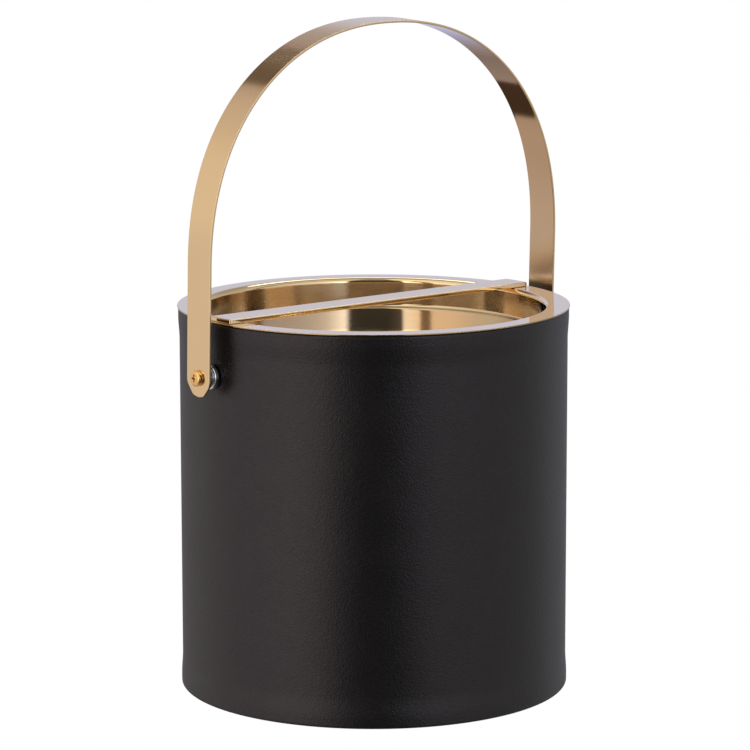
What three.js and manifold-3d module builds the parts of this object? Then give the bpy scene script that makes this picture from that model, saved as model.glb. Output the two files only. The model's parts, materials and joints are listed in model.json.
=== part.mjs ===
// Ice bucket: a leatherette-covered, foam-insulated bucket with a drawn metal liner,
// a pressed pan lid with a flat bar across it, and a bent strip handle on two screws.
// Millimetres, +Z up, front towards -Y. Origin: centre of the underside. The handle pivots
// about the line parallel to X through y = PIVOT_Y, z = PIVOT_Z. The lid rests on z = RIM_Z.
import * as THREE from "three";
import { mergeVertices } from "three/addons/utils/BufferGeometryUtils.js";
import Module from "manifold-3d";

const { degToRad } = THREE.MathUtils;

// ---- shared dimensions: _R radius, _T thickness, _W width, _X _Y _Z place on that axis ----
const RING_SEGMENTS = 48; // facets of every large ring, so that nested rings stay parallel
const SMALL_SEGMENTS = 16; // facets round screws and washers
const FIT_GAP = 0.2; // clearance between neighbouring parts
const CUT_REACH = 120; // how far cutting bodies run out along X, past everything

const WALL_R = 94.0; // outside of the leatherette wall
const RIM_Z = 186.7; // top of the wall: the plane the lid's flange rests on

const WRAP_T = 0.8; // leatherette
const WRAP_BOTTOM_Z = 0.4;

const CORE_R = WALL_R - WRAP_T - FIT_GAP; // stiff tube inside the leatherette
const CORE_BORE_R = 90.6;
const CORE_BOTTOM_Z = WRAP_BOTTOM_Z + WRAP_T + FIT_GAP;
const CORE_TOP_Z = RIM_Z - WRAP_T - FIT_GAP;

const BOARD_R = CORE_BORE_R - FIT_GAP; // base board, also the outside of foam and collar
const BOARD_TOP_Z = 4.4;

const PIVOT_Z = 161.4; // height of the handle's pivot line
const PIVOT_Y = -1.3; // the pivot line runs this far forward of the bucket's axis
const CLEAR_HOLE_R = 2.3; // every hole round the screw's shank, except the nut's bore

const STRIP_T = 1.1; // handle strip
const STRIP_X = 102.5; // outside of each straight leg

// ---- finishes ----
const leatherette = { color: 0x1c1a1c, roughness: 0.42, metalness: 0 };
const board = { color: 0x8a6a48, roughness: 0.9, metalness: 0 };
const felt = { color: 0x151515, roughness: 1, metalness: 0 };
const foam = { color: 0xe8e6dc, roughness: 0.95, metalness: 0 };
const collarPlastic = { color: 0x202022, roughness: 0.5, metalness: 0 };
const linerSteel = { color: 0xb9b9ba, roughness: 0.3, metalness: 1 };
const polishedGold = { color: 0xe6c88e, roughness: 0.06, metalness: 1 };
const satinGold = { color: 0xd4b58a, roughness: 0.32, metalness: 1 };
const brass = { color: 0xe8bc52, roughness: 0.15, metalness: 1 };
const chrome = { color: 0xd8d8da, roughness: 0.08, metalness: 1 };
const zinc = { color: 0xa8a8a4, roughness: 0.4, metalness: 1 };

// ---- solids and meshes ----
const manifold = await Module();
manifold.setup();

// Welds a closed geometry into a solid, turned right side out if its faces point inwards.
function solid(geometry) {
  const loose = geometry.index ? geometry.toNonIndexed() : geometry;
  const bare = new THREE.BufferGeometry();
  bare.setAttribute("position", loose.getAttribute("position"));
  const welded = mergeVertices(bare, 1e-4);
  const corners = welded.index.array;
  const triangles = [];
  for (let i = 0; i < corners.length; i += 3) {
    const [a, b, c] = corners.slice(i, i + 3);
    if (a !== b && b !== c && c !== a) triangles.push([a, b, c]);
  }
  const build = (faces) =>
    new manifold.Manifold(
      new manifold.Mesh({
        numProp: 3,
        vertProperties: new Float32Array(welded.attributes.position.array),
        triVerts: new Uint32Array(faces.flat()),
      }),
    );
  const body = build(triangles);
  return body.volume() >= 0 ? body : build(triangles.map(([a, b, c]) => [a, c, b]));
}

function geometryOf(body) {
  const { numVert, numProp, vertProperties, triVerts } = body.getMesh();
  const positions = new Float32Array(numVert * 3);
  for (let i = 0; i < numVert; i++) {
    positions.set(vertProperties.subarray(i * numProp, i * numProp + 3), i * 3);
  }
  const geometry = new THREE.BufferGeometry();
  geometry.setAttribute("position", new THREE.BufferAttribute(positions, 3));
  geometry.setIndex(new THREE.BufferAttribute(new Uint32Array(triVerts), 1));
  return geometry;
}

function add(group, name, body, finish) {
  const mesh = new THREE.Mesh(geometryOf(body), new THREE.MeshStandardMaterial(finish));
  mesh.name = name;
  group.add(mesh);
  return mesh;
}

// ---- shapes ----

// [radius, height] pairs turned about +Z. A ring's profile closes on itself.
function turned(profile, segments = RING_SEGMENTS, closed = false) {
  const points = profile.map(([r, z]) => new THREE.Vector2(r, z));
  if (closed) points.push(points[0].clone());
  return new THREE.LatheGeometry(points, segments).rotateX(Math.PI / 2);
}

function ring(innerR, outerR, z0, z1) {
  const profile = [[innerR, z0], [outerR, z0], [outerR, z1], [innerR, z1]];
  return turned(profile, RING_SEGMENTS, true);
}

function disc(radius, z0, z1, segments = RING_SEGMENTS) {
  return turned([[0, z0], [radius, z0], [radius, z1], [0, z1]], segments);
}

// Profile points on an arc about [r, z], between two angles in degrees.
function arc(r, z, radius, startAngle, endAngle, steps) {
  return Array.from({ length: steps + 1 }, (_, i) => {
    const angle = degToRad(startAngle + ((endAngle - startAngle) * i) / steps);
    return [r + radius * Math.cos(angle), z + radius * Math.sin(angle)];
  });
}

// An open pan of even sheet with a flat rim. Radii and heights are those of its upper surface.
function sheetPan({ thickness, floorZ, topZ, rimR, floor, mouth }) {
  const floorArc = [floor.wallR - floor.rounding, floorZ + floor.rounding];
  const mouthArc = [mouth.wallR + mouth.rounding, topZ - mouth.rounding];
  const profile = [
    [0, floorZ],
    ...arc(...floorArc, floor.rounding, -90, 0, floor.steps),
    ...arc(...mouthArc, mouth.rounding, 180, 90, mouth.steps),
    [rimR, topZ],
    [rimR, topZ - thickness],
    ...arc(...mouthArc, mouth.rounding - thickness, 90, 180, mouth.steps),
    ...arc(...floorArc, floor.rounding + thickness, 0, -90, floor.steps),
    [0, floorZ - thickness],
  ];
  return solid(turned(profile));
}

// Parts on the pivot line are drawn over the bucket's axis, at y = 0, and moved forward later.

// Lays a turned body's axis along +X at the pivot's height.
function alongPivot(geometry) {
  return solid(geometry.rotateY(Math.PI / 2).translate(0, 0, PIVOT_Z));
}

function pivotRod(radius) {
  return alongPivot(disc(radius, -CUT_REACH, CUT_REACH, SMALL_SEGMENTS));
}

// A box centred on the pivot line, from x0 to x1.
function pivotBox(x0, x1, sizeY, sizeZ) {
  const geometry = new THREE.BoxGeometry(x1 - x0, sizeY, sizeZ);
  return solid(geometry.translate((x0 + x1) / 2, 0, PIVOT_Z));
}

const clearHole = pivotRod(CLEAR_HOLE_R);

// ---- wall: leatherette over a stiff tube, on a base board and pad ----
const WRAP_SWELL = 0.55; // extra radius where the leatherette doubles over an edge
const WRAP_EDGE_R = 1.3; // rounding of the folded edges
const WRAP_EDGE_STEPS = 3;
const WRAP_LIP_R = 92.3; // how far in it is turned at the mouth
const WRAP_FOOT_R = 88.0; // how far in it is turned underneath
const PAD_R = 87.7;

// How the swell dies away: [share of WRAP_SWELL, distance in from the edge].
const SWELL_FADE = [[1, 6.0], [0.68, 8.8], [0.2, 11.6], [0, 14.4]];

function outerWrap() {
  const edgeArcR = WALL_R + WRAP_SWELL - WRAP_EDGE_R;
  const insideR = WALL_R - WRAP_T;
  const fade = SWELL_FADE.map(([share, inset]) => [WALL_R + WRAP_SWELL * share, inset]);
  const profile = [
    [WRAP_FOOT_R, WRAP_BOTTOM_Z],
    ...arc(edgeArcR, WRAP_BOTTOM_Z + WRAP_EDGE_R, WRAP_EDGE_R, -90, 0, WRAP_EDGE_STEPS),
    ...fade.map(([r, inset]) => [r, WRAP_BOTTOM_Z + inset]),
    ...fade.toReversed().map(([r, inset]) => [r, RIM_Z - inset]),
    ...arc(edgeArcR, RIM_Z - WRAP_EDGE_R, WRAP_EDGE_R, 0, 90, WRAP_EDGE_STEPS),
    [WRAP_LIP_R, RIM_Z],
    [WRAP_LIP_R, RIM_Z - WRAP_T],
    [insideR, RIM_Z - WRAP_T],
    [insideR, WRAP_BOTTOM_Z + WRAP_T],
    [WRAP_FOOT_R, WRAP_BOTTOM_Z + WRAP_T],
  ];
  return solid(turned(profile, RING_SEGMENTS, true));
}

function addWall(group) {
  const hole = clearHole.translate([0, PIVOT_Y, 0]);
  const core = solid(ring(CORE_BORE_R, CORE_R, CORE_BOTTOM_Z, CORE_TOP_Z));
  add(group, "outer_wrap", outerWrap().subtract(hole), leatherette);
  add(group, "wall_core", core.subtract(hole), board);
  add(group, "base_board", solid(disc(BOARD_R, CORE_BOTTOM_Z, BOARD_TOP_Z)), board);
  add(group, "base_pad", solid(disc(PAD_R, 0, CORE_BOTTOM_Z)), felt);
}

// ---- insulation, and the collar above it ----
const FOAM_BORE_R = 86.0;
const FOAM_TOP_Z = 177.8;
const FOAM_DISC_TOP_Z = 14.5;
const FOAM_POCKET = 17.0; // square pocket in the foam round each nut and plate
const COLLAR_BORE_R = 86.7;

function addInsulation(group) {
  const pocket = pivotBox(-CUT_REACH, CUT_REACH, FOAM_POCKET, FOAM_POCKET);
  const sleeve = solid(ring(FOAM_BORE_R, BOARD_R, BOARD_TOP_Z, FOAM_TOP_Z))
    .subtract(pocket.translate([0, PIVOT_Y, 0]));
  const floorDisc = solid(disc(FOAM_BORE_R - FIT_GAP, BOARD_TOP_Z, FOAM_DISC_TOP_Z));
  const collar = solid(ring(COLLAR_BORE_R, BOARD_R, FOAM_TOP_Z + FIT_GAP, CORE_TOP_Z));
  add(group, "insulation_sleeve", sleeve, foam);
  add(group, "insulation_disc", floorDisc, foam);
  add(group, "top_collar", collar, collarPlastic);
}

// ---- liner: one drawn pail with a flat rim ----
const LINER_R = 84.6; // inside

function linerPail() {
  return sheetPan({
    thickness: 1.0,
    floorZ: 15.6,
    topZ: RIM_Z,
    rimR: 92.0,
    floor: { wallR: LINER_R, rounding: 12.0, steps: 5 },
    mouth: { wallR: LINER_R, rounding: 1.9, steps: 3 },
  });
}

// ---- lid: pressed pan, and the bar across its flange ----
const LID_T = 0.7;
const LID_TOP_Z = RIM_Z + LID_T; // top of the flange
const LID_WALL_R = 83.0; // inside of the pan's wall where it meets the shoulder
const LID_DRAFT = 0.8; // how much narrower the wall is at the pan's floor
const LID_DEPTH = 14.6; // flange top down to the pan's floor

const BAR_END_R = 93.2; // the bar's ends follow this circle
const BAR_W = 15.6;
const BAR_T = 2.2;
const BAR_CORNER_R = 1.0;
const BAR_TURN = 3.6; // degrees from the X axis, counterclockwise seen from above

function lidPan() {
  return sheetPan({
    thickness: LID_T,
    floorZ: LID_TOP_Z - LID_DEPTH,
    topZ: LID_TOP_Z,
    rimR: 95.0,
    floor: { wallR: LID_WALL_R - LID_DRAFT, rounding: 1.6, steps: 3 },
    mouth: { wallR: LID_WALL_R, rounding: 2.6, steps: 4 },
  });
}

function lidBar() {
  const cornerY = BAR_W / 2 - BAR_CORNER_R; // centre of a corner rounding
  const cornerX = Math.sqrt((BAR_END_R - BAR_CORNER_R) ** 2 - cornerY ** 2);
  const endAngle = Math.atan2(cornerY, cornerX);
  const outline = new THREE.Shape();
  outline.moveTo(-cornerX, -BAR_W / 2);
  // A long side, then the end it leads to: +X first, then the same turned half round.
  for (const [sign, turn] of [[1, 0], [-1, Math.PI]]) {
    const x = sign * cornerX;
    const y = sign * cornerY;
    outline.lineTo(x, (-sign * BAR_W) / 2);
    outline.absarc(x, -y, BAR_CORNER_R, turn - Math.PI / 2, turn - endAngle, false);
    outline.absarc(0, 0, BAR_END_R, turn - endAngle, turn + endAngle, false);
    outline.absarc(x, y, BAR_CORNER_R, turn + endAngle, turn + Math.PI / 2, false);
  }
  const options = { depth: BAR_T, bevelEnabled: false, curveSegments: 6 };
  const bar = new THREE.ExtrudeGeometry(outline, options);
  return solid(bar.rotateZ(degToRad(BAR_TURN)).translate(0, 0, LID_TOP_Z));
}

// ---- handle: one strip, two straight legs and a superellipse arch, round ends ----
const HANDLE_LEAN = 1.7; // degrees the handle leans forward
const STRIP_W = 19.0; // along Y
const STRIP_SPARE = 2; // length below the round ends, cut away with them
const ARCH_START_Z = 213.6; // where the legs turn into the arch
const ARCH_RISE = 111.5; // arch height above that, to the outside
const ARCH_POWER = 2.2; // power of the superellipse
const ARCH_SEGMENTS = 44;
const CUT_EASE = 0.01; // keeps the round-end cut clear of the strip's long edges
const CUT_HEADROOM = 5; // how far that cut reaches above the arch

// The bent strip seen along Y, square at both feet.
function bentStrip() {
  const outer = [];
  const inner = [];
  for (let i = 0; i <= ARCH_SEGMENTS; i++) {
    const angle = (Math.PI * i) / ARCH_SEGMENTS;
    const cosine = Math.cos(angle);
    const x = STRIP_X * Math.sign(cosine) * Math.abs(cosine) ** (2 / ARCH_POWER);
    const z = ARCH_RISE * Math.sin(angle) ** (2 / ARCH_POWER);
    // The inner face lies one thickness in along the outer curve's normal.
    const normalX = (Math.sign(x) * Math.abs(x / STRIP_X) ** (ARCH_POWER - 1)) / STRIP_X;
    const normalZ = Math.abs(z / ARCH_RISE) ** (ARCH_POWER - 1) / ARCH_RISE;
    const inward = STRIP_T / Math.hypot(normalX, normalZ);
    outer.push([x, ARCH_START_Z + z]);
    inner.push([x - inward * normalX, ARCH_START_Z + z - inward * normalZ]);
  }
  const footZ = PIVOT_Z - STRIP_W / 2 - STRIP_SPARE;
  const outline = [
    [STRIP_X, footZ],
    ...outer,
    [-STRIP_X, footZ],
    [-STRIP_X + STRIP_T, footZ],
    ...inner.reverse(),
    [STRIP_X - STRIP_T, footZ],
  ];
  const shape = new THREE.Shape(outline.map(([x, z]) => new THREE.Vector2(x, z)));
  const strip = new THREE.ExtrudeGeometry(shape, { depth: STRIP_W, bevelEnabled: false });
  return solid(strip.rotateX(Math.PI / 2).translate(0, STRIP_W / 2, 0));
}

// The strip's outline seen along X: full width above the pivot, a half round below it.
function roundEndCut() {
  const halfWidth = STRIP_W / 2 + CUT_EASE;
  const topZ = ARCH_START_Z + ARCH_RISE + CUT_HEADROOM;
  const shape = new THREE.Shape();
  shape.moveTo(halfWidth, topZ);
  shape.lineTo(-halfWidth, topZ);
  shape.absarc(0, PIVOT_Z, halfWidth, Math.PI, 2 * Math.PI, false);
  // Shape X becomes world Y, shape Y becomes world Z, and the depth runs along world X.
  const stand = new THREE.Matrix4().set(
    0, 0, 1, -CUT_REACH,
    1, 0, 0, 0,
    0, 1, 0, 0,
    0, 0, 0, 1,
  );
  const options = { depth: 2 * CUT_REACH, bevelEnabled: false, curveSegments: 20 };
  return solid(new THREE.ExtrudeGeometry(shape, options).applyMatrix4(stand));
}

// Drawn upright, then hung on the pivot line at its lean.
function addHandle(group) {
  const strip = bentStrip().intersect(roundEndCut()).subtract(clearHole);
  add(group, "bale_handle", strip, satinGold).position.z = -PIVOT_Z;
  group.position.set(0, PIVOT_Y, PIVOT_Z);
  group.rotation.x = degToRad(HANDLE_LEAN);
}

// ---- pivots, drawn for the +X side and turned half round for the other ----
const SCREW_R = 2.0; // shank
const SCREW_TIP_X = 86.2;
const SCREW_CHAMFER = 0.5; // at the tip
const HEAD_R = 3.9;
const HEAD_X = STRIP_X + 0.1; // underside of the head
const HEAD_TOP_X = HEAD_X + 2.2;
const CROSS_L = 4.4; // cross recess
const CROSS_W = 1.0;
const CROSS_DEPTH = 1.2;

// The head's domed edge: [distance in from its rim, distance below its top].
const HEAD_DOME = [[0, 1.0], [0.25, 0.5], [0.9, 0.12], [2.0, 0]];

const WASHER_R = 6.2; // the two bright discs between wall and strip
const WASHER_EDGE_R = 1.1; // rounding of their rims
const WASHER_EDGE_STEPS = 2;
const SPACER_X0 = WALL_R + 0.1;
const SPACER_X1 = 97.4;
const WASHER_X0 = SPACER_X1 + FIT_GAP;
const WASHER_X1 = STRIP_X - STRIP_T - FIT_GAP;

const PLATE_X0 = 88.8; // square backing plate
const PLATE_X1 = 89.8;
const PLATE_W = 15.0;
const NUT_X0 = 86.4; // hexagonal lock nut
const NUT_X1 = PLATE_X0 - FIT_GAP;
const NUT_FLATS = 7.0;
const NUT_BORE_R = 2.15;

function pivotScrew() {
  const profile = [
    [0, SCREW_TIP_X],
    [SCREW_R - SCREW_CHAMFER, SCREW_TIP_X],
    [SCREW_R, SCREW_TIP_X + SCREW_CHAMFER],
    [SCREW_R, HEAD_X],
    [HEAD_R, HEAD_X],
    ...HEAD_DOME.map(([inset, drop]) => [HEAD_R - inset, HEAD_TOP_X - drop]),
    [0, HEAD_TOP_X],
  ];
  const slotX0 = HEAD_TOP_X - CROSS_DEPTH;
  const slotX1 = HEAD_TOP_X + 1; // out past the head
  const cross = pivotBox(slotX0, slotX1, CROSS_L, CROSS_W)
    .add(pivotBox(slotX0, slotX1, CROSS_W, CROSS_L));
  return alongPivot(turned(profile, SMALL_SEGMENTS)).subtract(cross);
}

function roundedWasher(x0, x1) {
  const edgeArcR = WASHER_R - WASHER_EDGE_R;
  const profile = [
    [CLEAR_HOLE_R, x0],
    ...arc(edgeArcR, x0 + WASHER_EDGE_R, WASHER_EDGE_R, -90, 0, WASHER_EDGE_STEPS),
    ...arc(edgeArcR, x1 - WASHER_EDGE_R, WASHER_EDGE_R, 0, 90, WASHER_EDGE_STEPS),
    [CLEAR_HOLE_R, x1],
  ];
  return alongPivot(turned(profile, SMALL_SEGMENTS, true));
}

function backingPlate() {
  return pivotBox(PLATE_X0, PLATE_X1, PLATE_W, PLATE_W).subtract(clearHole);
}

function lockNut() {
  const cornerR = NUT_FLATS / 2 / Math.cos(Math.PI / 6);
  return alongPivot(disc(cornerR, NUT_X0, NUT_X1, 6)).subtract(pivotRod(NUT_BORE_R));
}

function addPivots(group) {
  const parts = [
    ["pivot_screw", pivotScrew(), brass],
    ["pivot_washer", roundedWasher(WASHER_X0, WASHER_X1), chrome],
    ["pivot_spacer", roundedWasher(SPACER_X0, SPACER_X1), chrome],
    ["backing_plate", backingPlate(), zinc],
    ["lock_nut", lockNut(), zinc],
  ];
  for (const [side, turn] of [["right", 0], ["left", Math.PI]]) {
    const pivot = new THREE.Group();
    pivot.rotation.z = turn;
    pivot.position.y = PIVOT_Y;
    for (const [name, body, finish] of parts) add(pivot, `${name}_${side}`, body, finish);
    group.add(pivot);
  }
}

// ---- assembly ----
const bucket = new THREE.Group();
addWall(bucket);
addInsulation(bucket);
add(bucket, "inner_liner", linerPail(), linerSteel);
addPivots(bucket);

const lid = new THREE.Group();
add(lid, "lid_pan", lidPan(), polishedGold);
add(lid, "lid_bar", lidBar(), polishedGold);

const handle = new THREE.Group();
addHandle(handle);

const assembly = new THREE.Group();
assembly.add(bucket, lid, handle);

export default assembly;
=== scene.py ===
import json
import math

import bmesh
import bpy
import numpy as np
from mathutils import Matrix, Vector


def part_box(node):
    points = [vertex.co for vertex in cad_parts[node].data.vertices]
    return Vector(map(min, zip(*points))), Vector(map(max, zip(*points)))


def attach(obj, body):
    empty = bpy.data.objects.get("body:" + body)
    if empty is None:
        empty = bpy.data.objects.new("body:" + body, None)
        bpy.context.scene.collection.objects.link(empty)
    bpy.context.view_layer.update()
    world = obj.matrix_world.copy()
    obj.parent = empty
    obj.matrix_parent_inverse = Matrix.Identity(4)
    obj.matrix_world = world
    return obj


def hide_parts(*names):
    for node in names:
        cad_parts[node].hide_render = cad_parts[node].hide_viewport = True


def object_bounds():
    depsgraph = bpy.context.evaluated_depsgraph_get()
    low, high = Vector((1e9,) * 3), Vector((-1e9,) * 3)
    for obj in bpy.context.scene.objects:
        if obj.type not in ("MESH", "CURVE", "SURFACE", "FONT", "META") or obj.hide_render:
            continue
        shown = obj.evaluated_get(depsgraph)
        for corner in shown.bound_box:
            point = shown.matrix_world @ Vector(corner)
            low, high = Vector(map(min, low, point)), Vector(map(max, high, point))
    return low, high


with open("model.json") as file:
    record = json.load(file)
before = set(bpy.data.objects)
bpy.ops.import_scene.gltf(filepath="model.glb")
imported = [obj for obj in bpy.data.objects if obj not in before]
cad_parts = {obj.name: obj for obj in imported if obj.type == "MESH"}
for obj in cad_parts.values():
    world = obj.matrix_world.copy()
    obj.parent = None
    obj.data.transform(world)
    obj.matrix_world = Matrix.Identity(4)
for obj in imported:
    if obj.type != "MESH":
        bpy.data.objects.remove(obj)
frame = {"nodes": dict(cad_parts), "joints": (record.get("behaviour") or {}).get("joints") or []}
cad_low, cad_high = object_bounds()
MM = 0.001
scene = bpy.context.scene

# ---------------------------------------------------------------- places from the frame
wrap_low, wrap_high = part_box("outer_wrap")
pad_low, pad_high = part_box("base_pad")
liner_low, liner_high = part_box("inner_liner")
pan_low, pan_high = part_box("lid_pan")
bar_low, bar_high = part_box("lid_bar")
screw_low, screw_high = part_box("pivot_screw_right")
washer_low, washer_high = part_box("pivot_washer_right")
spacer_low, spacer_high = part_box("pivot_spacer_right")
PIVOT = Vector(next(j for j in frame["joints"] if j["name"] == "handle_swing")["pos_m"])
RIM = wrap_high.z  # the plane the lid rests on
FLANGE_TOP = bar_low.z
SHEET = FLANGE_TOP - RIM  # thickness of the lid pan
PAN_R = pan_high.x
PAN_FLOOR = pan_low.z + SHEET  # upper surface
ARCH_FOOT = PIVOT.z + 52.2 * MM  # where the handle's straight legs turn into the arch


# ---------------------------------------------------------------- mesh helpers
def mesh_object(name, bm, smooth=True):
    bmesh.ops.recalc_face_normals(bm, faces=bm.faces)
    mesh = bpy.data.meshes.new(name)
    bm.to_mesh(mesh)
    bm.free()
    if smooth:
        shade_smooth(mesh)
    return link_object(name, mesh)


def link_object(name, data):
    obj = bpy.data.objects.new(name, data)
    scene.collection.objects.link(obj)
    return obj


def shade_smooth(mesh):
    mesh.polygons.foreach_set("use_smooth", [True] * len(mesh.polygons))


def arc(centre_r, centre_z, radius, start, end, steps):
    """Points on an arc between two angles in degrees."""
    turns = [math.radians(start + (end - start) * i / steps) for i in range(steps + 1)]
    return [(centre_r + radius * math.cos(a), centre_z + radius * math.sin(a)) for a in turns]


def line(p, q, steps):
    """Points between p and q, both ends left out."""
    return [
        (p[0] + (q[0] - p[0]) * i / steps, p[1] + (q[1] - p[1]) * i / steps)
        for i in range(1, steps)
    ]


def lathe(name, profile, segments=256, angles=None, closed=False, shift=None, place=None):
    """Turns (radius, height) pairs about Z. shift(radius, angle) is added to the radius."""
    if angles is None:
        angles = [2 * math.pi * i / segments for i in range(segments)]
    bm = bmesh.new()
    rings = []
    for radius, z in profile:
        if radius < 1e-7:
            rings.append([bm.verts.new((0, 0, z))])
            continue
        ring = []
        for angle in angles:
            reach = radius + (shift(radius, angle) if shift else 0.0)
            ring.append(bm.verts.new((reach * math.cos(angle), reach * math.sin(angle), z)))
        rings.append(ring)
    pairs = list(zip(rings, rings[1:]))
    if closed:
        pairs.append((rings[-1], rings[0]))
    for near, far in pairs:
        for i in range(len(angles)):
            j = (i + 1) % len(angles)
            corners = (near[i % len(near)], far[i % len(far)], far[j % len(far)],
                       near[j % len(near)])
            # beside a point on the axis the repeated corner drops out, leaving a triangle
            bm.faces.new(list(dict.fromkeys(corners)))
    if place:
        bm.transform(place)
    return mesh_object(name, bm)


def set_material(mesh, material):
    mesh.materials.clear()
    mesh.materials.append(material)


def dress(obj, material, body, slot, *cad_names):
    """Finishes a piece: normals, material, and what it moves with and stands for."""
    normals = obj.modifiers.new("weighted_normals", "WEIGHTED_NORMAL")
    normals.mode = "FACE_AREA_WITH_ANGLE"
    normals.weight = 50
    normals.keep_sharp = True
    set_material(obj.data, material)
    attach(obj, body)
    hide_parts(*cad_names)


# ---------------------------------------------------------------- node helpers
class Tree:
    """Short calls for a shader tree. A value may be a number, a tuple or a socket."""

    def __init__(self, owner, output_kind):
        owner.use_nodes = True
        self.tree = owner.node_tree
        self.tree.nodes.clear()
        self.output = self.new(output_kind)

    def new(self, kind, inputs=None, **settings):
        node = self.tree.nodes.new(kind)
        for key, value in settings.items():
            setattr(node, key, value)
        for key, value in (inputs or {}).items():
            self.put(node.inputs[key], value)
        return node

    def put(self, socket, value):
        if isinstance(value, bpy.types.NodeSocket):
            self.tree.links.new(value, socket)
            return
        if socket.type == "RGBA" and len(value) == 3:
            value = (*value, 1)
        socket.default_value = value

    def finish(self, node):
        self.put(self.output.inputs["Surface"], node.outputs[0])

    def principled(self, inputs):
        self.finish(self.new("ShaderNodeBsdfPrincipled", inputs))

    def math(self, operation, a, b=0.0):
        return self.new("ShaderNodeMath", {0: a, 1: b}, operation=operation).outputs[0]

    def times(self, a, b):
        return self.math("MULTIPLY", a, b)

    def plus(self, base, value, weight=None):
        """base + value * weight"""
        return self.math("ADD", base, value if weight is None else self.times(value, weight))

    def mix(self, factor, first, second, blend="MIX"):
        inputs = {0: factor, 6: first, 7: second}
        return self.new("ShaderNodeMix", inputs, data_type="RGBA", blend_type=blend).outputs[2]

    def mix_float(self, factor, first, second):
        inputs = {0: factor, 2: first, 3: second}
        return self.new("ShaderNodeMix", inputs, data_type="FLOAT").outputs[0]

    def ramp(self, factor, stops):
        """Colour ramp from (position, colour or grey) stops."""
        node = self.new("ShaderNodeValToRGB", {0: factor})
        elements = node.color_ramp.elements
        while len(elements) > 1:
            elements.remove(elements[-1])
        for i, (position, colour) in enumerate(stops):
            if isinstance(colour, (int, float)):
                colour = (colour,) * 3
            element = elements[0] if i == 0 else elements.new(position)
            element.position = position
            element.color = (*colour, 1)
        return node.outputs[0]

    def ease(self, value, start, end):
        """Smooth step from 0 at start to 1 at end."""
        inputs = {"Value": value, "From Min": start, "From Max": end}
        node = self.new("ShaderNodeMapRange", inputs, interpolation_type="SMOOTHSTEP")
        return node.outputs[0]

    def coords(self, kind="Object", scale=(1, 1, 1), rotation=(0, 0, 0)):
        source = self.new("ShaderNodeTexCoord").outputs[kind]
        inputs = {"Vector": source, "Scale": scale, "Rotation": rotation}
        return self.new("ShaderNodeMapping", inputs).outputs[0]

    def position(self, kind="Object"):
        source = self.new("ShaderNodeTexCoord").outputs[kind]
        return self.new("ShaderNodeSeparateXYZ", {0: source}).outputs

    def polar(self):
        """Radius, angle and height about the bucket's axis."""
        x, y, z = self.position()
        radius = self.math("SQRT", self.plus(self.times(x, x), self.times(y, y)))
        return radius, self.math("ARCTAN2", y, x), z

    def noise(self, vector, scale, detail=4.0, rough=0.5):
        inputs = {"Vector": vector, "Scale": scale, "Detail": detail, "Roughness": rough}
        return self.new("ShaderNodeTexNoise", inputs).outputs["Fac"]

    def turned_noise(self, polar, radial, around, upward, rough):
        """Noise drawn out round the axis, scaled along radius, angle and height."""
        radius, angle, z = polar
        inputs = {0: self.times(angle, around), 1: self.times(radius, radial),
                  2: self.times(z, upward)}
        vector = self.new("ShaderNodeCombineXYZ", inputs).outputs[0]
        return self.noise(vector, scale=1.0, rough=rough)

    def voronoi(self, vector, scale, feature="F1"):
        inputs = {"Vector": vector, "Scale": scale}
        return self.new("ShaderNodeTexVoronoi", inputs, feature=feature).outputs["Distance"]

    def bump(self, height, strength, distance, normal=None):
        inputs = {"Strength": strength, "Distance": distance, "Height": height}
        if normal is not None:
            inputs["Normal"] = normal
        return self.new("ShaderNodeBump", inputs).outputs[0]

    def facing(self):
        return self.new("ShaderNodeLayerWeight", {"Blend": 0.5}).outputs["Facing"]

    def metal_colour(self, head_on, glancing, start, end):
        """Metal colour seen head-on, turning to its glancing colour."""
        return self.mix(self.ease(self.facing(), start, end), head_on, glancing)


def new_material(name):
    material = bpy.data.materials.new(name)
    return material, Tree(material, "ShaderNodeOutputMaterial")


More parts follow.
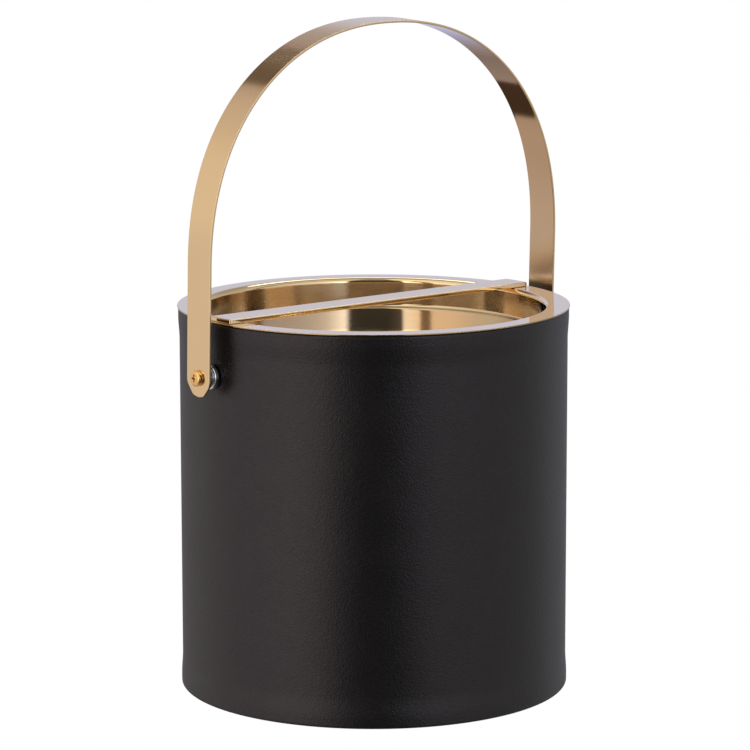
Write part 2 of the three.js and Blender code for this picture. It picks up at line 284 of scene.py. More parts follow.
# ---------------------------------------------------------------- materials
def make_leatherette():
    material, tree = new_material("leatherette_black")
    place = tree.coords()
    cells = tree.ease(tree.voronoi(place, scale=1150.0), start=0.05, end=0.75)
    creases = tree.voronoi(place, scale=520.0, feature="DISTANCE_TO_EDGE")
    creases = tree.ease(creases, start=0.0, end=0.16)
    fine = tree.noise(place, scale=2600.0, detail=3.0, rough=0.6)
    grain = tree.plus(tree.times(cells, 0.45), creases, weight=0.35)
    grain = tree.plus(grain, fine, weight=0.35)
    wave = tree.noise(tree.coords(scale=(1.0, 1.0, 0.35)), scale=26.0, detail=2.0)
    normal = tree.bump(wave, strength=0.22, distance=0.0006)
    pebble = tree.noise(place, scale=420.0, detail=3.0, rough=0.6)
    height = tree.plus(grain, pebble, weight=0.9)
    normal = tree.bump(height, strength=0.42, distance=0.00013, normal=normal)

    # near-black, patchy, with painted shade darkening the creases
    patch = tree.noise(place, scale=38.0, detail=3.0, rough=0.55)
    colour = tree.mix(tree.ease(patch, start=0.3, end=0.7),
                      (0.0026, 0.0023, 0.0024), (0.0044, 0.0039, 0.0040))
    painted_crease_shade = tree.times(tree.math("SUBTRACT", 1.0, creases), 0.5)
    colour = tree.mix(painted_crease_shade, colour, (0.002, 0.0018, 0.0018))

    # rougher at a glancing view
    rough = tree.plus(0.29, patch, weight=0.07)
    rough = tree.plus(rough, fine, weight=0.05)
    glancing = tree.ease(tree.facing(), start=0.35, end=0.85)
    rough = tree.plus(rough, glancing, weight=0.16)

    cloud = tree.noise(place, scale=95.0, rough=0.6)
    gloss = tree.times(tree.ease(pebble, start=0.3, end=0.7), 0.6)
    gloss = tree.plus(gloss, tree.ease(cloud, start=0.3, end=0.7), weight=0.4)
    tree.principled({
        "Base Color": colour, "Roughness": rough, "Normal": normal,
        "IOR": 1.5, "Specular IOR Level": 0.5,
        "Specular Tint": tree.mix(gloss, (0.88, 0.82, 0.84), (1.0, 0.95, 0.97)),
        "Sheen Weight": 0.03, "Sheen Roughness": 0.4, "Sheen Tint": (0.9, 0.88, 1.0),
    })
    return material


PLATED_GOLD = (0.86, 0.655, 0.375)
PLATED_TURN = {"start": 0.62, "end": 0.86}  # facing values where the colour turns


def make_polished_gold(name, rough, glancing, pan=False):
    material, tree = new_material(name)
    place = tree.coords()
    wave = tree.noise(place, scale=30.0, detail=1.5, rough=0.4)
    normal = tree.bump(wave, strength=0.03, distance=0.0003)
    colour = tree.metal_colour(PLATED_GOLD, glancing, **PLATED_TURN)
    smudge = tree.noise(place, scale=55.0, detail=5.0, rough=0.6)
    hair = tree.coords(scale=(1, 14, 1), rotation=(0, 0, 0.7))
    hair = tree.noise(hair, scale=900.0, detail=2.0, rough=0.6)
    rough = tree.plus(rough, tree.ease(smudge, start=0.45, end=0.8), weight=0.05)
    rough = tree.plus(rough, tree.ease(hair, start=0.62, end=0.75), weight=0.04)
    inputs = {"Base Color": colour, "Metallic": 1.0, "Roughness": rough, "Normal": normal}
    if pan:
        add_pan_marks(tree, inputs)
    tree.principled(inputs)
    return material


def add_pan_marks(tree, inputs):
    """Fine lines round the drawn wall, faint turning marks, and painted shade darkening the wall
    and the outer edge.
    """
    polar = tree.polar()
    radius, _, z = polar
    on_wall = tree.times(
        tree.ease(z, start=FLANGE_TOP - 1.7 * MM, end=FLANGE_TOP - 3.4 * MM),
        tree.ease(radius, start=81.6 * MM, end=82.3 * MM))
    above_floor = tree.ease(z, start=PAN_FLOOR + 0.3 * MM, end=PAN_FLOOR + 1.4 * MM)
    on_wall = tree.times(on_wall, above_floor)
    drawn = tree.turned_noise(polar, radial=700.0, around=5.0, upward=2600.0, rough=0.65)
    strength = tree.plus(0.05, on_wall, weight=0.16)
    inputs["Normal"] = tree.bump(drawn, strength, distance=0.00008, normal=inputs["Normal"])

    # inside the pan the plating keeps its gold tint even at a glancing view
    inner = tree.metal_colour(PLATED_GOLD, (0.945, 0.86, 0.75), **PLATED_TURN)
    below_rim = tree.ease(z, start=FLANGE_TOP - 1.3 * MM, end=FLANGE_TOP - 2.6 * MM)
    colour = tree.mix(below_rim, inputs["Base Color"], inner)
    # painted shade: the drawn wall inside the recess is darkened
    painted_wall_shade = tree.mix(on_wall, (1, 1, 1), (0.60, 0.605, 0.67))
    colour = tree.mix(1.0, colour, painted_wall_shade, blend="MULTIPLY")
    lines = tree.times(on_wall, tree.ease(drawn, start=0.5, end=0.8))
    colour = tree.mix(tree.times(lines, 0.35), colour, (0.34, 0.24, 0.13))
    # painted shade darkens the outer edge
    painted_edge_shade = tree.ease(radius, start=PAN_R - 0.30 * MM, end=PAN_R - 0.08 * MM)
    inputs["Base Color"] = tree.mix(tree.times(painted_edge_shade, 0.75), colour, (0.30, 0.21, 0.12))

    inputs["Roughness"] = tree.plus(inputs["Roughness"], on_wall, weight=0.07)
    inputs["Anisotropic"] = tree.times(on_wall, 0.8)
    inputs["Anisotropic Rotation"] = 0.25
    tangent = tree.new("ShaderNodeTangent", direction_type="RADIAL", axis="Z")
    inputs["Tangent"] = tangent.outputs[0]


def make_satin_gold():
    material, tree = new_material("handle_satin_gold")
    # U runs along the strip and V across it, both in metres
    streak = tree.noise(tree.coords("UV", scale=(14.0, 2600.0, 1.0)), scale=1.0, rough=0.65)
    broad = tree.noise(tree.coords("UV", scale=(6.0, 420.0, 1.0)), scale=1.0, detail=2.0)
    speck = tree.noise(tree.coords(), scale=900.0, detail=3.0, rough=0.6)
    height = tree.plus(streak, broad, weight=0.5)

    inside = tree.new("ShaderNodeAttribute", attribute_name="inside").outputs["Fac"]
    turn = {"start": 0.70, "end": 0.92}  # facing values where the colours turn
    # the inner face takes a darker copy of the gold as painted shade
    colour = tree.mix(
        inside,
        tree.metal_colour((0.885, 0.665, 0.378), (0.95, 0.90, 0.93), **turn),
        tree.metal_colour((0.62, 0.455, 0.285), (0.88, 0.84, 0.88), **turn))
    in_streak = tree.times(tree.ease(streak, start=0.35, end=0.75), 0.10)

    outer_rough = tree.plus(0.06, streak, weight=0.07)
    # the inner face is duller towards the feet
    z = tree.position()[2]
    foot = tree.ease(z, start=ARCH_FOOT + 22 * MM, end=ARCH_FOOT - 18 * MM)
    inner_rough = tree.plus(tree.plus(0.03, foot, weight=0.19), streak, weight=0.04)
    rough = tree.mix_float(inside, outer_rough, inner_rough)
    tangent = tree.new("ShaderNodeTangent", direction_type="UV_MAP")
    tree.principled({
        "Base Color": tree.mix(in_streak, colour, (0.55, 0.40, 0.25)),
        "Metallic": 1.0,
        "Roughness": tree.plus(rough, speck, weight=0.015),
        "Normal": tree.bump(height, strength=0.12, distance=0.00004),
        "Anisotropic": 0.75, "Anisotropic Rotation": 0.25, "Tangent": tangent.outputs[0],
    })
    return material


def make_metal(name, colour, glancing, rough, grain, strength, vary):
    """grain is the noise scale, strength its bump, vary its share in the roughness."""
    material, tree = new_material(name)
    marks = tree.noise(tree.coords(), scale=grain, rough=0.6)
    soft = tree.noise(tree.coords(), scale=120.0, detail=3.0)
    metal = tree.metal_colour(colour, glancing, start=0.6, end=0.9)
    tarnish = (colour[0] * 0.8, colour[1] * 0.72, colour[2] * 0.62)
    in_tarnish = tree.times(tree.ease(soft, start=0.5, end=0.8), 0.18)
    tree.principled({
        "Base Color": tree.mix(in_tarnish, metal, tarnish),
        "Metallic": 1.0,
        "Roughness": tree.plus(rough, marks, weight=vary),
        "Normal": tree.bump(marks, strength, distance=0.00005),
    })
    return material


def make_liner_steel():
    material, tree = new_material("liner_brushed_steel")
    brushed = tree.turned_noise(tree.polar(), radial=1500.0, around=0.6, upward=1500.0, rough=0.6)
    tree.principled({
        "Base Color": tree.mix(brushed, (0.52, 0.51, 0.50), (0.68, 0.67, 0.655)),
        "Metallic": 1.0,
        "Roughness": tree.plus(0.22, brushed, weight=0.14),
        "Normal": tree.bump(brushed, strength=0.12, distance=0.00004),
    })
    return material


def make_dull(name, dark, light, scale, strength, distance, rough,
              stretch=(1, 1, 1), sheen=0.0):
    """Matt material; strength and distance are those of its bump."""
    material, tree = new_material(name)
    place = tree.coords(scale=stretch)
    grain = tree.noise(place, scale, detail=5.0, rough=0.65)
    cells = tree.voronoi(place, scale * 1.7)
    tree.principled({
        "Base Color": tree.mix(tree.ease(grain, start=0.3, end=0.7), dark, light),
        "Roughness": tree.plus(rough - 0.08, grain, weight=0.14),
        "Normal": tree.bump(tree.plus(grain, cells, weight=0.5), strength, distance),
        "Sheen Weight": sheen,
    })
    return material


LEATHER = make_leatherette()
GOLD_PAN = make_polished_gold(
    "lid_polished_gold", rough=0.025, glancing=(0.96, 0.93, 0.95), pan=True)
GOLD_BAR = make_polished_gold("bar_polished_gold", rough=0.03, glancing=(0.96, 0.905, 0.84))
SATIN = make_satin_gold()
BRASS = make_metal(
    "screw_bright_brass", colour=(0.96, 0.62, 0.24), glancing=(1.0, 0.90, 0.64),
    rough=0.05, grain=700.0, strength=0.03, vary=0.05)
CHROME = make_metal(
    "spacer_chrome", colour=(0.96, 0.96, 0.98), glancing=(0.99, 0.99, 1.0),
    rough=0.13, grain=500.0, strength=0.03, vary=0.05)
ZINC = make_metal(
    "plate_zinc", colour=(0.52, 0.53, 0.52), glancing=(0.8, 0.8, 0.8),
    rough=0.30, grain=260.0, strength=0.15, vary=0.2)
STEEL = make_liner_steel()
FELT = make_dull(
    "pad_felt", dark=(0.010, 0.010, 0.011), light=(0.035, 0.034, 0.036),
    scale=2600.0, strength=0.6, distance=0.0004, rough=0.95, sheen=0.3)
BOARD = make_dull(
    "core_fibreboard", dark=(0.22, 0.145, 0.08), light=(0.36, 0.25, 0.15),
    scale=600.0, strength=0.4, distance=0.0002, rough=0.92, stretch=(1, 1, 0.4))
FOAM = make_dull(
    "insulation_foam", dark=(0.72, 0.70, 0.64), light=(0.88, 0.87, 0.82),
    scale=900.0, strength=0.5, distance=0.0004, rough=0.95)
PLASTIC = make_dull(
    "collar_moulded", dark=(0.012, 0.012, 0.013), light=(0.022, 0.022, 0.024),
    scale=1800.0, strength=0.2, distance=0.0001, rough=0.5)

# ---------------------------------------------------------------- wall
FOLD_R = wrap_high.x  # where the leatherette doubles over an edge
WALL_R = FOLD_R - 0.55 * MM
LIP_R = 92.3 * MM
FOOT_R = 88.0 * MM
SKIN = 0.8 * MM
FOLD_EDGE = 1.3 * MM  # rounding of the folded edges
PLAIN_MARGIN = 20 * MM  # the plain wall starts this far from either edge
SEAM = math.radians(90)  # the sleeve's joint, on the +Y side midway between the pivots
SEAM_CLEAR = 2.6  # mm each side of the joint, where the regular segments give way
# mm from a folded edge
FOLD_STATIONS = [1.3, 2.2, 3.2, 4.2, 5.2, 6.2, 7.2, 8.2, 9.2, 10.2, 11.2, 12.2, 13.2, 14.2, 15.5]
# mm from the joint, on each side
SEAM_STATIONS = [0.0, 0.12, 0.25, 0.4, 0.6, 0.9, 1.4, 2.2]


def wall_radius(depth):
    """Radius at a distance from a folded edge, easing in where the doubled layer ends."""
    share = min(1.0, max(0.0, (depth - 4.5 * MM) / (11.0 * MM)))
    share = share * share * (3 - 2 * share)
    return FOLD_R + (WALL_R - FOLD_R) * share


def seam_shift(radius, angle):
    """A narrow groove at the joint, with the wall a little proud beside it."""
    if radius < WALL_R - 0.5 * MM:
        return 0.0
    across = (angle - SEAM) * WALL_R / MM
    lift = 0.16 * math.exp(-((abs(across) - 0.9) / 0.55) ** 2)
    return (lift - 0.42 * math.exp(-(across / 0.22) ** 2)) * MM


def build_wall():
    bottom, top = wrap_low.z, wrap_high.z
    bend_r = FOLD_R - FOLD_EDGE
    depths = [d * MM for d in FOLD_STATIONS]
    plain = np.linspace(bottom + PLAIN_MARGIN, top - PLAIN_MARGIN, 30)
    profile = (
        [(FOOT_R, bottom)] + line((FOOT_R, bottom), (bend_r, bottom), 4)
        + arc(bend_r, bottom + FOLD_EDGE, FOLD_EDGE, -90, 0, 8)[:-1]
        + [(wall_radius(d), bottom + d) for d in depths]
        + [(WALL_R, z) for z in plain]
        + [(wall_radius(d), top - d) for d in reversed(depths)]
        + arc(bend_r, top - FOLD_EDGE, FOLD_EDGE, 0, 90, 8)[1:]
        + [(LIP_R + 0.2 * MM, top), (LIP_R, top - 0.2 * MM), (LIP_R, top - SKIN)]
        + [(WALL_R - SKIN, top - SKIN), (WALL_R - SKIN, bottom + SKIN)]
        + [(FOOT_R, bottom + SKIN)]
    )
    regular = [2 * math.pi * i / 256 for i in range(256)]
    angles = [a for a in regular if abs(a - SEAM) > SEAM_CLEAR * MM / WALL_R]
    angles += {round(SEAM + s * d * MM / WALL_R, 9) for d in SEAM_STATIONS for s in (-1, 1)}
    wall = lathe("leatherette_wall", profile, angles=sorted(angles), closed=True,
                 shift=seam_shift)
    dress(wall, LEATHER, "bucket", "leatherette", "outer_wrap")


build_wall()


# ---------------------------------------------------------------- felt pad
def build_felt():
    radius, bottom, top = pad_high.x, pad_low.z, pad_high.z
    low_edge, top_edge = 0.35 * MM, 0.15 * MM
    profile = (
        [(r * MM, bottom) for r in (0, 20, 40, 60, 80)]
        + arc(radius - low_edge, bottom + low_edge, low_edge, -90, 0, 4)
        + arc(radius - top_edge, top - top_edge, top_edge, 0, 90, 3) + [(0, top)]
    )
    felt = lathe("felt_pad", profile, segments=160)
    dress(felt, FELT, "bucket", "felt", "base_pad")


build_felt()


# ---------------------------------------------------------------- liner
def build_liner():
    radius = 84.6 * MM  # inside
    sheet = 1.0 * MM
    corner = 12.0 * MM  # inside, between floor and wall
    mouth = 1.9 * MM  # roll from the wall out to the rim
    floor_z = liner_low.z + sheet
    rim_r = liner_high.x
    wall_bottom, wall_top = floor_z + corner + 8 * MM, RIM - mouth - 4 * MM
    profile = (
        [(r * MM, floor_z) for r in (0, 15, 30, 45, 60)]
        + arc(radius - corner, floor_z + corner, corner, -90, 0, 14)
        + [(radius, z) for z in np.linspace(wall_bottom, wall_top, 14)]
        + arc(radius + mouth, RIM - mouth, mouth, 180, 90, 8)
        + [(rim_r - 0.25 * MM, RIM), (rim_r, RIM - 0.25 * MM), (rim_r, RIM - sheet)]
        + arc(radius + mouth, RIM - mouth, mouth - sheet, 90, 180, 8)
        + [(radius + sheet, z) for z in np.linspace(wall_top, wall_bottom, 6)]
        + arc(radius - corner, floor_z + corner, corner + sheet, 0, -90, 12)
        + [(0, floor_z - sheet)]
    )
    pail = lathe("liner_pail", profile, segments=192)
    dress(pail, STEEL, "bucket", "liner_steel", "inner_liner")


build_liner()


# ---------------------------------------------------------------- lid pan
def build_pan():
    top_r = 83.0 * MM  # inside of the wall, where the shoulder meets it
    low_r = top_r - 0.8 * MM  # the wall draws in towards the floor
    shoulder = 2.6 * MM
    fillet = 1.6 * MM  # inside, between floor and wall
    edge = 0.28 * MM
    flat_r, edge_r = top_r + shoulder, PAN_R - edge
    shoulder_z, fillet_z = FLANGE_TOP - shoulder, PAN_FLOOR + fillet
    profile = (
        [(r * MM, PAN_FLOOR) for r in (0, 14, 28, 42, 56, 68, 76)]
        + arc(low_r - fillet, fillet_z, fillet, -90, -4, 10)
        + line((low_r, fillet_z), (top_r, shoulder_z), 7)
        + arc(flat_r, shoulder_z, shoulder, 180, 90, 16)
        + line((flat_r, FLANGE_TOP), (edge_r, FLANGE_TOP), 4)
        + arc(edge_r, FLANGE_TOP - edge, edge, 90, 0, 6)
        + arc(edge_r, RIM + edge, edge, 0, -90, 4)
        + line((edge_r, RIM), (flat_r, RIM), 3)
        + arc(flat_r, shoulder_z, shoulder - SHEET, 90, 180, 12)
        + line((top_r + SHEET, shoulder_z), (low_r + SHEET, fillet_z), 4)
        + arc(low_r - fillet, fillet_z, fillet + SHEET, -4, -90, 8)
        + [(40 * MM, PAN_FLOOR - SHEET), (0, PAN_FLOOR - SHEET)]
    )
    pan = lathe("lid_pressed_pan", profile, segments=320)
    dress(pan, GOLD_PAN, "lid", "polished_gold", "lid_pan")


build_pan()


# ---------------------------------------------------------------- lid bar
def build_bar():
    """A flat bar with rounded ends on the lid's circle, lying nearly along X."""
    end_r = 93.2 * MM
    half_width = 7.8 * MM
    corner = 1.0 * MM
    corner_y = half_width - corner
    corner_x = math.sqrt((end_r - corner) ** 2 - corner_y ** 2)
    tangent = math.degrees(math.atan2(corner_y, corner_x))
    right_end = (
        arc(corner_x, -corner_y, corner, -90, -tangent, 8)
        + arc(0, 0, end_r, -tangent, tangent, 12)[1:]
        + arc(corner_x, corner_y, corner, tangent, 90, 8)[1:]
    )
    outline = right_end + [(-x, -y) for x, y in right_end]

    bm = bmesh.new()
    face = bm.faces.new([bm.verts.new((x, y, bar_low.z)) for x, y in outline])
    raised = bmesh.ops.extrude_face_region(bm, geom=[face])["geom"]
    raised = [v for v in raised if isinstance(v, bmesh.types.BMVert)]
    bmesh.ops.translate(bm, verts=raised, vec=(0, 0, bar_high.z - bar_low.z))
    rims = [e for e in bm.edges if abs(e.verts[0].co.z - e.verts[1].co.z) < 1e-9]
    bmesh.ops.bevel(bm, geom=rims, offset=0.55 * MM, segments=6, profile=0.5,
                    affect="EDGES", clamp_overlap=True)
    bar = mesh_object("lid_bridge_bar", bm)
    # the lid sits turned a little in its seat
    bar.data.transform(Matrix.Rotation(math.radians(3.6), 4, "Z"))
    dress(bar, GOLD_BAR, "lid", "polished_gold", "lid_bar")


build_bar()

# ---------------------------------------------------------------- handle strip
STRIP_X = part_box("bale_handle")[1].x  # outer face of the straight legs
STRIP_THICK = 1.1 * MM
STRIP_HALF = 9.5 * MM  # half its width
ARCH_RISE = 111.5 * MM
ARCH_POWER = 2.2  # of the superellipse; 2 would be an ellipse
END_RUN = STRIP_HALF + 2 * MM  # length from each end of the centre line to its pivot
HOLE_R = 2.3 * MM  # the hole in the strip and its discs


def arch_point(turn):
    """Centre-line (x, z) and outward normal on the arch, turn running 0 to pi."""
    cos, sin = math.cos(turn), max(0.0, math.sin(turn))
    x = STRIP_X * math.copysign(abs(cos) ** (2 / ARCH_POWER), cos)
    z = ARCH_RISE * sin ** (2 / ARCH_POWER)
    normal = np.array([
        math.copysign(abs(x / STRIP_X) ** (ARCH_POWER - 1), x) / STRIP_X,
        (z / ARCH_RISE) ** (ARCH_POWER - 1) / ARCH_RISE,
    ])
    normal /= np.linalg.norm(normal)
    return (x, ARCH_FOOT + z) - normal * STRIP_THICK / 2, normal


def centre_line():
    """Fine tables of length, (x, z) and outward normal, from the +X foot to the -X foot."""
    leg_x = STRIP_X - STRIP_THICK / 2
    leg = np.linspace(PIVOT.z - END_RUN, ARCH_FOOT, 40)[:-1]
    rows = [((leg_x, z), (1.0, 0.0)) for z in leg]
    rows += [arch_point(turn) for turn in np.linspace(0, math.pi, 1601)]
    rows += [((-leg_x, z), (-1.0, 0.0)) for z in leg[::-1]]
    points = np.array([row[0] for row in rows])
    normals = np.array([row[1] for row in rows])
    steps = np.linalg.norm(np.diff(points, axis=0), axis=1)
    return np.concatenate([[0], np.cumsum(steps)]), points, normals


RUN, LINE_POINTS, LINE_NORMALS = centre_line()


def bend(flat):
    """Takes flat (length, across, height above the centre line) to its bent place."""
    x, z = (
        np.interp(flat.x, RUN, LINE_POINTS[:, i])
        + flat.z * np.interp(flat.x, RUN, LINE_NORMALS[:, i])
        for i in (0, 1)
    )
    return Vector((x, flat.y, z))


# the strip's end outline as blended straight sides: across part, outward part, distance
END_SIDES = ((1.0, 0.0, STRIP_HALF), (0.735, 0.678, 8.95 * MM), (0.12, 0.993, 9.08 * MM))
END_BLEND = 22  # higher is sharper between the sides


def strip_end(bm, centre, inward):
    """Strip round a pivot hole: rounded outward, square inward. Returns the inward row."""
    steps = 48
    rings = []
    for share in (0.0, 0.12, 0.35, 0.7, 1.0):  # from the hole to the outline
        ring = []
        for i in range(steps):
            angle = 2 * math.pi * i / steps  # 0 is across the strip, pi/2 is inward
            cos, sin = math.cos(angle), math.sin(angle)
            if sin < -1e-9:
                reach = sum(((a * abs(cos) + b * abs(sin)) / distance) ** END_BLEND
                            for a, b, distance in END_SIDES) ** (-1 / END_BLEND)
            else:
                reach = STRIP_HALF / max(abs(cos), abs(sin))
            radius = HOLE_R + (reach - HOLE_R) * share
            ring.append(bm.verts.new((centre + inward * radius * sin, radius * cos, 0)))
        rings.append(ring)
    for near, far in zip(rings, rings[1:]):
        for i in range(steps):
            j = (i + 1) % steps
            bm.faces.new((near[i], far[i], far[j], near[j]))
    return rings[-1][steps // 8:3 * steps // 8 + 1]


def flat_strip():
    bm = bmesh.new()
    last_pivot = RUN[-1] - END_RUN
    first = strip_end(bm, END_RUN, 1)
    last = strip_end(bm, last_pivot, -1)
    rows = [first]
    for s in np.linspace(END_RUN + STRIP_HALF, last_pivot - STRIP_HALF, 241)[1:-1]:
        rows.append([bm.verts.new((s, v.co.y, 0)) for v in first])
    rows.append(last)
    for near, far in zip(rows, rows[1:]):
        for i in range(len(near) - 1):
            bm.faces.new((near[i], far[i], far[i + 1], near[i + 1]))
    # the recalculated normals of an open sheet may point either way; these should point up
    bmesh.ops.recalc_face_normals(bm, faces=bm.faces)
    if sum(f.normal.z for f in bm.faces) < 0:
        bmesh.ops.reverse_faces(bm, faces=bm.faces)
    raised = bmesh.ops.extrude_face_region(bm, geom=list(bm.faces), use_keep_orig=True)
    raised = {v for v in raised["geom"] if isinstance(v, bmesh.types.BMVert)}
    for v in bm.verts:
        v.co.z = STRIP_THICK / 2 if v in raised else -STRIP_THICK / 2
    bmesh.ops.recalc_face_normals(bm, faces=bm.faces)
    rims = [
        e for e in bm.edges
        if len(e.link_faces) == 2 and e.link_faces[0].normal.dot(e.link_faces[1].normal) < 0.3
    ]
    bmesh.ops.bevel(bm, geom=rims, offset=0.26 * MM, segments=4, profile=0.5,
                    affect="EDGES", clamp_overlap=True)
    return bm


def build_strip():
    bm = flat_strip()
    uv = bm.loops.layers.uv.new("strip")
    inside = bm.verts.layers.float.new("inside")  # 1 on the strip's inner face
    for v in bm.verts:
        v[inside] = 1.0 if v.co.z < -STRIP_THICK * 0.2 else 0.0
    for f in bm.faces:
        for loop in f.loops:
            loop[uv].uv = (loop.vert.co.x, loop.vert.co.y)
    for v in bm.verts:
        v.co = bend(v.co)
    strip = mesh_object("handle_strip", bm)
    # hung on the pivot line, leaning a little towards -Y
    lean = Matrix.Rotation(math.radians(1.7), 4, "X")
    strip.data.transform(
        Matrix.Translation(PIVOT) @ lean @ Matrix.Translation((0, 0, -PIVOT.z)))
    dress(strip, SATIN, "handle", "satin_gold", "bale_handle")


build_strip()

# ---------------------------------------------------------------- pivots
# takes a piece turned about Z to the pivot line, its heights running along X
ON_PIVOT_LINE = (Matrix.Translation((0, PIVOT.y, PIVOT.z))
                 @ Matrix(((0, 0, 1), (1, 0, 0), (0, 1, 0))).to_4x4())
HALF_TURN = Matrix.Translation((0, 2 * PIVOT.y, 0)) @ Matrix.Rotation(math.pi, 4, "Z")


def dress_pair(right, name, material, slot, cad_name):
    """Dresses a right-hand piece and a copy turned half round for the left."""
    left = link_object(name + "_left", right.data.copy())
    left.data.transform(HALF_TURN)
    dress(right, material, "bucket", slot, cad_name + "_right")
    dress(left, material, "bucket", slot, cad_name + "_left")


def build_disc(kind, start, end):
    """A holed disc with rounded edges, between two places along X."""
    chamfer = 0.1 * MM
    rounding = 1.1 * MM
    flat_r = (washer_high.y - washer_low.y) / 2 - rounding
    profile = (
        [(HOLE_R, start + chamfer), (HOLE_R + chamfer, start)]
        + line((HOLE_R, start), (flat_r, start), 3)
        + arc(flat_r, start + rounding, rounding, -90, 0, 8)
        + arc(flat_r, end - rounding, rounding, 0, 90, 8)
        + line((flat_r, end), (HOLE_R, end), 3)
        + [(HOLE_R + chamfer, end), (HOLE_R, end - chamfer)]
    )
    name = f"pivot_{kind}_turned"
    disc = lathe(name + "_right", profile, segments=96, closed=True, place=ON_PIVOT_LINE)
    dress_pair(disc, name, CHROME, "bright_chrome", "pivot_" + kind)


build_disc("spacer", spacer_low.x, spacer_high.x)
build_disc("washer", washer_low.x, washer_high.x)

HEAD_TOP = screw_high.x


def screw_profile():
    head_r = (screw_high.y - screw_low.y) / 2
    under = HEAD_TOP - 2.2 * MM  # underside of the head
    tail = screw_low.x
    shank = 2.0 * MM
    chamfer = 0.5 * MM
    edge = 0.12 * MM
    dome_r, dome_height = 1.15 * MM, 0.97 * MM  # radii of the head's rounded shoulder
    dome_base = HEAD_TOP - 0.18 * MM - dome_height
    dome = [
        (head_r - dome_r + dome_r * math.cos(a), dome_base + dome_height * math.sin(a))
        for a in map(math.radians, range(8, 91, 9))
    ]
    return (
        [(0, tail), (shank - chamfer, tail), (shank, tail + chamfer)]
        + line((shank, tail + chamfer), (shank, under), 6)
        + [(shank, under)] + arc(head_r - edge, under + edge, edge, -90, 0, 3)
        + [(head_r, under + 1.05 * MM)] + dome
        + [(1.6 * MM, HEAD_TOP - 0.05 * MM), (0.8 * MM, HEAD_TOP - 0.01 * MM), (0, HEAD_TOP)]
    )


def cross_cutter():
    """Two crossed blades, tapering into the head."""
    # x, half length, half width at the blade's deep and outer ends
    sections = ((HEAD_TOP - 1.35 * MM, 1.25 * MM, 0.36 * MM),
                (HEAD_TOP + 0.6 * MM, 2.25 * MM, 0.5 * MM))
    bm = bmesh.new()
    for upright in (False, True):
        verts = []
        for x, length, width in sections:
            for i, j in ((-1, -1), (1, -1), (1, 1), (-1, 1)):
                y, z = (j * width, i * length) if upright else (i * length, j * width)
                verts.append(bm.verts.new((x, PIVOT.y + y, PIVOT.z + z)))
        bm.faces.new(verts[:4])
        bm.faces.new(verts[4:])
        for i in range(4):
            j = (i + 1) % 4
            bm.faces.new((verts[i], verts[j], verts[4 + j], verts[4 + i]))
    return mesh_object("cross", bm, smooth=False)


def build_screws():
    screw = lathe("pivot_screw_head_right", screw_profile(), segments=96, place=ON_PIVOT_LINE)
    cutter = cross_cutter()
    cut = screw.modifiers.new("cross", "BOOLEAN")
    cut.operation = "DIFFERENCE"
    cut.solver = "EXACT"
    cut.use_self = True
    cut.object = cutter
    bpy.context.view_layer.update()
    evaluated = screw.evaluated_get(bpy.context.evaluated_depsgraph_get())
    carved = bpy.data.meshes.new_from_object(evaluated)
    screw.modifiers.clear()
    screw.data = carved
    bpy.data.objects.remove(cutter)
    # crisp where the blades meet the dome
    bm = bmesh.new()
    bm.from_mesh(carved)
    for e in bm.edges:
        faces = e.link_faces
        if len(faces) == 2 and faces[0].normal.dot(faces[1].normal) < 0.7:
            e.smooth = False
    bm.to_mesh(carved)
    bm.free()
    shade_smooth(carved)
    dress_pair(screw, "pivot_screw_head", BRASS, "screw_brass", "pivot_screw")


build_screws()

# ---------------------------------------------------------------- CAD nodes that stay
for node, material in {
    "wall_core": BOARD, "base_board": BOARD,
    "insulation_sleeve": FOAM, "insulation_disc": FOAM, "top_collar": PLASTIC,
    "backing_plate_left": ZINC, "backing_plate_right": ZINC,
    "lock_nut_left": ZINC, "lock_nut_right": ZINC,
}.items():
    set_material(frame["nodes"][node].data, material)

# ---------------------------------------------------------------- camera
CAMERA_PLACE = Vector((-0.9936678, -1.3763454, FLANGE_TOP + 0.2646535))
CAMERA_AXES = Matrix((
    (0.810417, -0.5858518, -0.0014011),  # right
    (0.1030978, 0.1402616, 0.9847322),  # up
    (-0.5767106, -0.7981882, 0.1740704),  # back
))
lens = bpy.data.cameras.new("camera")
lens.sensor_width = 36.0
lens.lens = 170.31329
lens.clip_start = 0.05
lens.clip_end = 50.0
camera = bpy.data.objects.new("camera", lens)
camera.matrix_world = Matrix.Translation(CAMERA_PLACE) @ CAMERA_AXES.transposed().to_4x4()
scene.collection.objects.link(camera)
scene.camera = camera

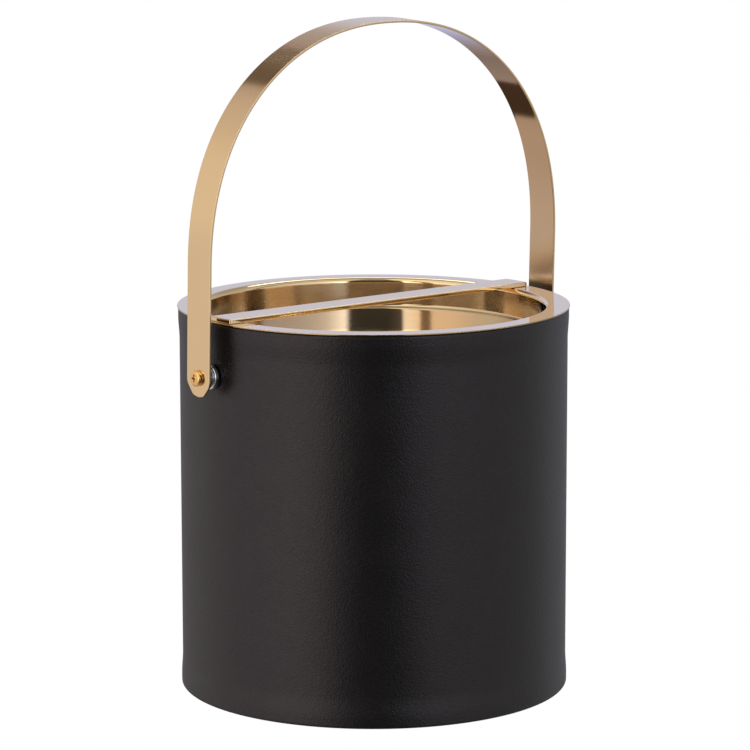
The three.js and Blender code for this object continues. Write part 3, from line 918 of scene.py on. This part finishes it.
# ---------------------------------------------------------------- world
# Bands of light round the horizon, lowest first. Each has the elevations in degrees over
# which it takes over from the band below, then stops of azimuth in degrees (0 towards
# the camera, positive to its right) and colour or grey.
SKY_BANDS = [
    (None, [
        (-180, (.40, .40, .52)), (-172, (.40, .39, .52)), (-167, (.38, .34, .38)),
        (-160, (.31, .27, .29)), (-148, (.40, .35, .36)), (-144.2, (.44, .38, .39)),
        (-143.4, (.08, .05, .04)), (-126.4, (.07, .05, .03)), (-125.4, (.60, .50, .47)),
        (-119, (.64, .54, .50)), (-108, (.62, .52, .50)), (-85, (.52, .47, .48)),
        (-60, (.42, .38, .39)), (-30, (.34, .31, .32)), (-20, .08), (18, .04), (26, .18),
        (60, .28), (100, .36), (150, .40), (180, (.40, .40, .52))]),
    ((-29, -8), [
        (-180, (.54, .55, .66)), (-160, (.52, .52, .60)), (-139, .60),
        (-111, (.72, .66, .64)), (-100, (.74, .66, .68)), (-92, (.86, .77, .80)),
        (-72, (1.14, 1.03, 1.06)), (-60, (1.50, 1.37, 1.40)), (-46, (1.80, 1.64, 1.66)),
        (-36, (1.76, 1.60, 1.63)), (-30, (1.50, 1.36, 1.39)), (-25, .80), (-20, .10),
        (-10, .03), (11, .03), (20, .08), (25, (.54, .50, .48)), (32, (.84, .79, .77)),
        (42, (.86, .81, .80)), (56, (.75, .72, .71)), (75, (.58, .56, .56)), (100, .48),
        (124, (.48, .47, .49)), (150, (.66, .65, .70)), (180, (.54, .55, .66))]),
    ((-6, 3), [
        (-180, (.59, .557, .600)), (-166, (.59, .553, .590)), (-150, (.66, .62, .63)),
        (-128, (.74, .68, .65)), (-111, (.78, .70, .66)), (-92, .95), (-75, (1.1, 1.0, .95)),
        (-58, (1.40, 1.17, 1.0)), (-46, (1.50, 1.24, 1.04)), (-34, (1.62, 1.36, 1.14)),
        (-28, (1.8, 1.66, 1.55)), (-21.5, (1.8, 1.8, 1.9)), (-20, (.14, .12, .12)),
        (-10, .07), (5, .07), (14, .08), (17.5, .12), (19, (2.35, 2.5, 2.95)),
        (22, (2.25, 2.4, 2.85)), (27, (1.7, 1.77, 2.05)), (32, (1.28, 1.3, 1.5)),
        (38, (1.05, 1.05, 1.2)), (44, (.93, .93, 1.08)), (50, (.85, .84, .98)),
        (62, (.77, .75, .87)), (76, (.70, .67, .77)), (90, (.60, .57, .66)), (134, .50),
        (156, (.56, .53, .56)), (180, (.59, .557, .600))]),
    ((15, 29), [
        (-180, .42), (-168, (.41, .38, .44)), (-161, (.36, .30, .33)),
        (-158.5, (.20, .16, .155)), (-148, (.175, .14, .125)), (-139, (.14, .105, .085)),
        (-136.4, (.13, .10, .08)), (-135, (.50, .43, .44)), (-126, (.62, .54, .54)),
        (-112, (.70, .63, .60)), (-60, 1.0), (-44, 1.05), (-34, 1.4), (-22, 1.9),
        (-20, .20), (-12, .05), (14, .05), (18, .12), (20, 1.1), (30, 1.05),
        (50, (.84, .86, .88)), (100, .60), (130, .40), (158, .38), (180, .42)]),
    ((41, 54), [
        (-180, .34), (-120, .45), (-90, .70), (-50, 1.0), (-34, 1.3), (-22, 1.6),
        (-14, .40), (12, .40), (20, 1.0), (50, .85), (90, .62), (130, .36), (180, .34)]),
]


def build_world():
    world = bpy.data.worlds.new("studio")
    scene.world = world
    tree = Tree(world, "ShaderNodeOutputWorld")
    x, y, z = tree.position("Generated")
    to_camera = CAMERA_PLACE.xy
    distance = math.hypot(*to_camera)
    ahead_x, ahead_y = to_camera.x / distance, to_camera.y / distance
    ahead = tree.plus(tree.times(x, ahead_x), y, weight=ahead_y)
    side = tree.plus(tree.times(x, -ahead_y), y, weight=ahead_x)
    azimuth = tree.math("ARCTAN2", side, ahead)
    azimuth = tree.plus(tree.times(azimuth, 1 / (2 * math.pi)), 0.5)
    elevation = tree.math("ARCSINE", z)

    def above(start, end):
        return tree.ease(elevation, math.radians(start), math.radians(end))

    light = None
    for takeover, stops in SKY_BANDS:
        band = tree.ramp(azimuth, [((degrees + 180) / 360, c) for degrees, c in stops])
        light = tree.mix(above(*takeover), light, band) if takeover else band
    light = tree.mix(above(66, 79), light, (.42, .42, .43))  # overhead

    # a narrow lamp, high on the side away from the camera
    behind = tree.ease(ahead, start=-0.50, end=-0.56)
    narrow = tree.math("LESS_THAN", tree.math("ABSOLUTE", side), 0.42)
    over_bottom = tree.math("GREATER_THAN", elevation, math.radians(43.5))
    under_top = tree.math("LESS_THAN", elevation, math.radians(53))
    lamp = tree.times(tree.times(narrow, tree.times(over_bottom, under_top)), behind)
    light = tree.mix(lamp, light, (4.2, 4.2, 4.2))

    # plain white to the camera
    seen = tree.new("ShaderNodeLightPath").outputs["Is Camera Ray"]
    colour = tree.mix(seen, light, (1, 1, 1))
    tree.finish(tree.new("ShaderNodeBackground", {"Color": colour, "Strength": 1.0}))


build_world()


# ---------------------------------------------------------------- floor
def build_floor():
    """A wide pale disc, seen only by the camera and only from above."""
    floor = lathe("floor", [(0, 0), (0.4, 0), (1.2, 0), (6.0, 0)], segments=64)
    material, tree = new_material("floor_pale")
    cloud = tree.noise(tree.coords(), scale=3.0, detail=2.0)
    colour = tree.mix(cloud, (1, 1, 1), (0.998, 0.998, 1))
    glow = tree.new("ShaderNodeEmission", {"Color": colour})
    clear = tree.new("ShaderNodeBsdfTransparent")
    from_below = tree.new("ShaderNodeNewGeometry").outputs["Backfacing"]
    tree.finish(tree.new(
        "ShaderNodeMixShader", {0: from_below, 1: glow.outputs[0], 2: clear.outputs[0]}))
    floor.data.materials.append(material)
    floor.location.z = cad_low.z - 0.0002
    for ray in ("diffuse", "glossy", "transmission", "shadow", "volume_scatter"):
        setattr(floor, "visible_" + ray, False)


build_floor()

scene.view_settings.view_transform = "Standard"
scene.view_settings.look = "None"
